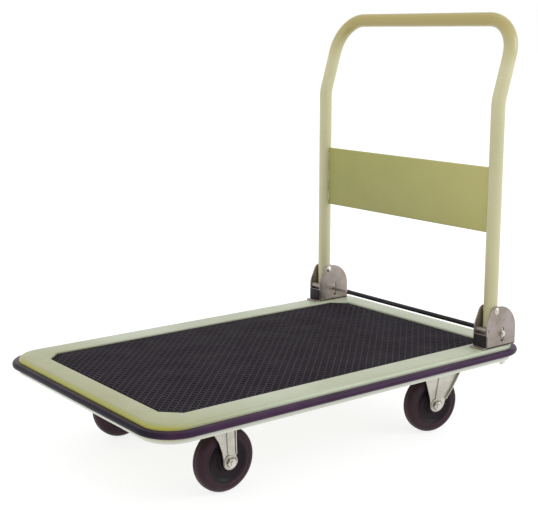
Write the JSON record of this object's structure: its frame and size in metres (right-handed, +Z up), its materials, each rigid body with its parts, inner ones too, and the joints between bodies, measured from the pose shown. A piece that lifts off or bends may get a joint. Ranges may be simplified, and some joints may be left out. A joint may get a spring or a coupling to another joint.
{
  "type": "folding platform cart",
  "caption": "Folding platform cart: rimmed steel deck with a mat and bumper, a leaning tubular push handle with a panel, a foot release bar, two rigid and two swivel casters.",
  "frame": {"origin": "on the floor under the middle of the platform", "axes": "+X from the nose of the platform towards the handle, +Y to the left when looking along +X, +Z up"},
  "size_m": [0.925, 0.605, 0.87],
  "materials": {
    "ivory_paint": "semi-gloss baked enamel",
    "primer_grey": "semi-gloss baked enamel",
    "mat_black": "fine ribbed matt vinyl",
    "bumper_indigo": "glossy soft vinyl",
    "plated_bracket": "dull zinc plating",
    "fastener_zinc": "bright zinc plating",
    "spring_steel": "drawn wire",
    "cream_paint": "semi-gloss baked enamel",
    "olive_panel": "fine textured coat",
    "bush_nylon": "moulded nylon",
    "plug_plastic": "moulded",
    "bar_steel": "drawn bright rod",
    "sleeve_vinyl": "soft vinyl",
    "caster_zinc": "bright zinc plating",
    "tyre_black": "moulded rubber",
    "core_plastic": "moulded"
  },
  "bodies": {
    "platform": {"platform_deck": "ivory_paint", "deck_stiffeners": "primer_grey", "platform_mat": "mat_black", "bumper_strip": "bumper_indigo", "hinge_bracket_near": "plated_bracket", "hinge_bracket_far": "plated_bracket", "bracket_bolts": "fastener_zinc", "bracket_spacers": "fastener_zinc", "bracket_nuts": "fastener_zinc", "handle_stops": "plated_bracket", "pivot_pins": "fastener_zinc", "return_springs": "spring_steel", "rigid_fork_near": "caster_zinc", "rigid_fork_far": "caster_zinc", "front_axle_bolts": "fastener_zinc", "front_axle_nuts": "fastener_zinc", "front_axle_sleeves": "fastener_zinc", "caster_bolts": "fastener_zinc", "caster_nuts": "fastener_zinc", "swivel_plates": "caster_zinc", "kingpins": "fastener_zinc", "race_balls": "spring_steel"},
    "handle": {"handle_tube": "cream_paint", "handle_panel": "olive_panel", "pivot_bushes": "bush_nylon", "tube_end_plugs": "plug_plastic"},
    "release_bar": {"release_bar": "bar_steel", "release_bar_sleeve": "sleeve_vinyl", "release_bar_washers": "fastener_zinc", "release_bar_clips": "fastener_zinc"},
    "swivel_near": {"swivel_fork_near": "caster_zinc", "swivel_axle_bolt_near": "fastener_zinc", "swivel_axle_nut_near": "fastener_zinc", "swivel_axle_sleeve_near": "fastener_zinc"},
    "front_wheel_near": {"front_tyre_near": "tyre_black", "front_core_near": "core_plastic", "front_bush_near": "bush_nylon"},
    "rear_wheel_near": {"rear_tyre_near": "tyre_black", "rear_core_near": "core_plastic", "rear_bush_near": "bush_nylon"},
    "swivel_far": {"swivel_fork_far": "caster_zinc", "swivel_axle_bolt_far": "fastener_zinc", "swivel_axle_nut_far": "fastener_zinc", "swivel_axle_sleeve_far": "fastener_zinc"},
    "front_wheel_far": {"front_tyre_far": "tyre_black", "front_core_far": "core_plastic", "front_bush_far": "bush_nylon"},
    "rear_wheel_far": {"rear_tyre_far": "tyre_black", "rear_core_far": "core_plastic", "rear_bush_far": "bush_nylon"}
  },
  "joints": [
    {"name": "handle_fold", "type": "hinge", "parent": "platform", "child": "handle", "pos_m": [0.3705, 0, 0.265], "axis": [0, -1, 0], "range_deg": [0, 97.5]},
    {"name": "release_bar", "type": "slide", "parent": "platform", "child": "release_bar", "axis": [0, 0, 1], "range_m": [-0.0125, 0.01], "stiffness_N_per_m": 600, "springref_m": 0.02, "deforming": ["return_springs"]},
    {"name": "caster_swivel_near", "type": "hinge", "parent": "platform", "child": "swivel_near", "pos_m": [0.319, -0.193, 0.1], "axis": [0, 0, 1], "continuous": true},
    {"name": "rear_wheel_spin_near", "type": "hinge", "parent": "swivel_near", "child": "rear_wheel_near", "pos_m": [0.28147, -0.18706, 0.0625], "axis": [0.1564, 0.9877, 0], "continuous": true},
    {"name": "front_wheel_spin_near", "type": "hinge", "parent": "platform", "child": "front_wheel_near", "pos_m": [-0.2525, -0.186, 0.0625], "axis": [0, 1, 0], "continuous": true},
    {"name": "caster_swivel_far", "type": "hinge", "parent": "platform", "child": "swivel_far", "pos_m": [0.319, 0.193, 0.1], "axis": [0, 0, 1], "continuous": true},
    {"name": "rear_wheel_spin_far", "type": "hinge", "parent": "swivel_far", "child": "rear_wheel_far", "pos_m": [0.28147, 0.19894, 0.0625], "axis": [0.1564, 0.9877, 0], "continuous": true},
    {"name": "front_wheel_spin_far", "type": "hinge", "parent": "platform", "child": "front_wheel_far", "pos_m": [-0.2525, 0.186, 0.0625], "axis": [0, 1, 0], "continuous": true}
  ]
}
